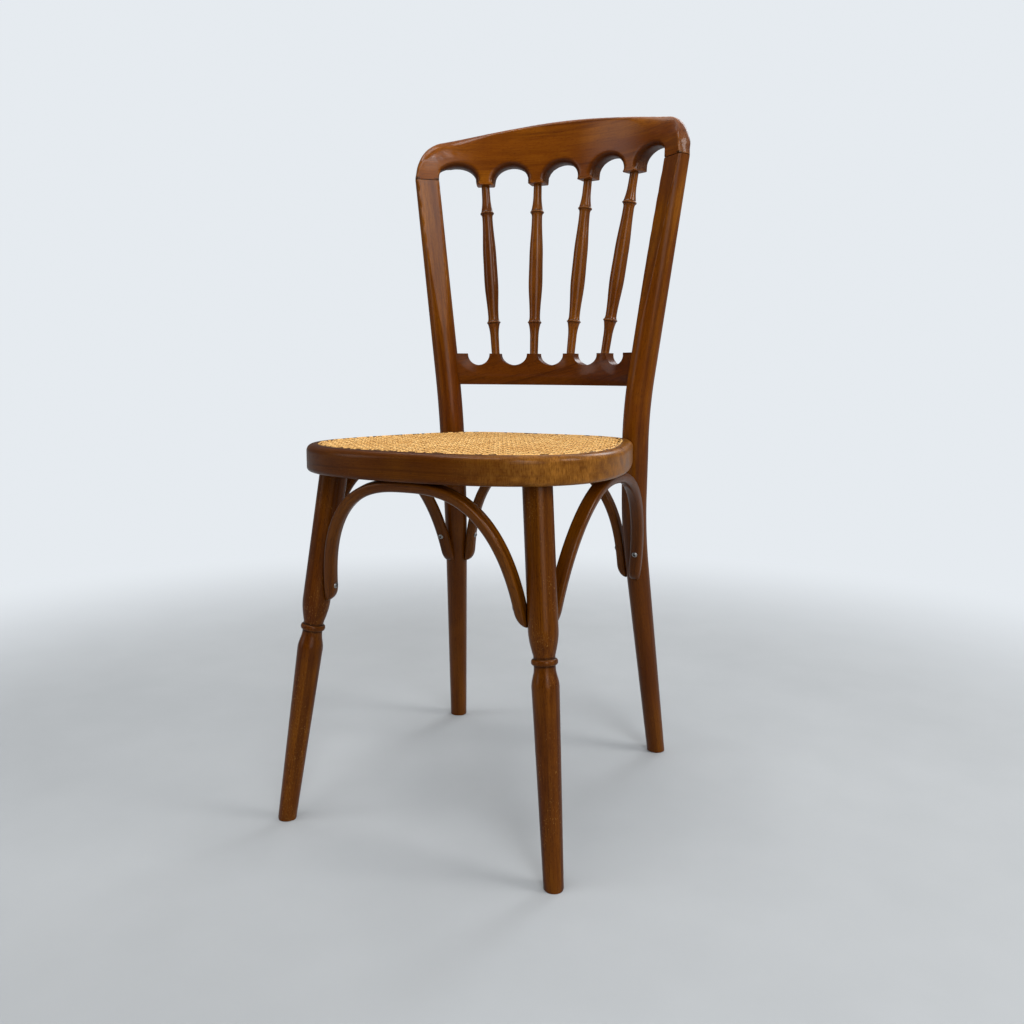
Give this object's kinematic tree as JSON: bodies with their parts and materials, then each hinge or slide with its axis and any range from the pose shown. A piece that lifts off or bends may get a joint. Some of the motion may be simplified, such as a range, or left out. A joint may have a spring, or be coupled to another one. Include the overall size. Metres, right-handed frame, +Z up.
{
  "type": "spindle back chair",
  "caption": "Side chair with bent wooden uprights, turned spindles between a scalloped crest rail and a lower rail, a caned seat, turned front legs and arched braces.",
  "frame": {"origin": "on the floor, at the centre of the chair's outline seen from above", "axes": "+Z up, -Y towards the front of the chair, +X towards the viewer's right when looking at its front"},
  "size_m": [0.4116, 0.4664, 0.917],
  "materials": {
    "stained_beech": "walnut stain under a satin varnish",
    "woven_cane": "natural split cane, matt to satin",
    "screw_steel": "dull grey, aged"
  },
  "bodies": {
    "root": {"seat_ring": "stained_beech", "cane_panel": "woven_cane", "cane_spline": "woven_cane", "left_back_upright": "stained_beech", "right_back_upright": "stained_beech", "front_left_leg": "stained_beech", "front_right_leg": "stained_beech", "crest_rail": "stained_beech", "lower_back_rail": "stained_beech", "left_seat_bolt": "screw_steel", "right_seat_bolt": "screw_steel", "spindle_1": "stained_beech", "spindle_2": "stained_beech", "spindle_3": "stained_beech", "spindle_4": "stained_beech", "left_crest_dowel": "stained_beech", "right_crest_dowel": "stained_beech", "front_arch_brace": "stained_beech", "front_arch_brace_first_screw": "screw_steel", "front_arch_brace_second_screw": "screw_steel", "front_arch_brace_crown_screw": "screw_steel", "right_arch_brace": "stained_beech", "right_arch_brace_first_screw": "screw_steel", "right_arch_brace_second_screw": "screw_steel", "right_arch_brace_crown_screw": "screw_steel", "rear_arch_brace": "stained_beech", "rear_arch_brace_first_screw": "screw_steel", "rear_arch_brace_second_screw": "screw_steel", "rear_arch_brace_crown_screw": "screw_steel", "left_arch_brace": "stained_beech", "left_arch_brace_first_screw": "screw_steel", "left_arch_brace_second_screw": "screw_steel", "left_arch_brace_crown_screw": "screw_steel"}
  },
  "joints": []
}
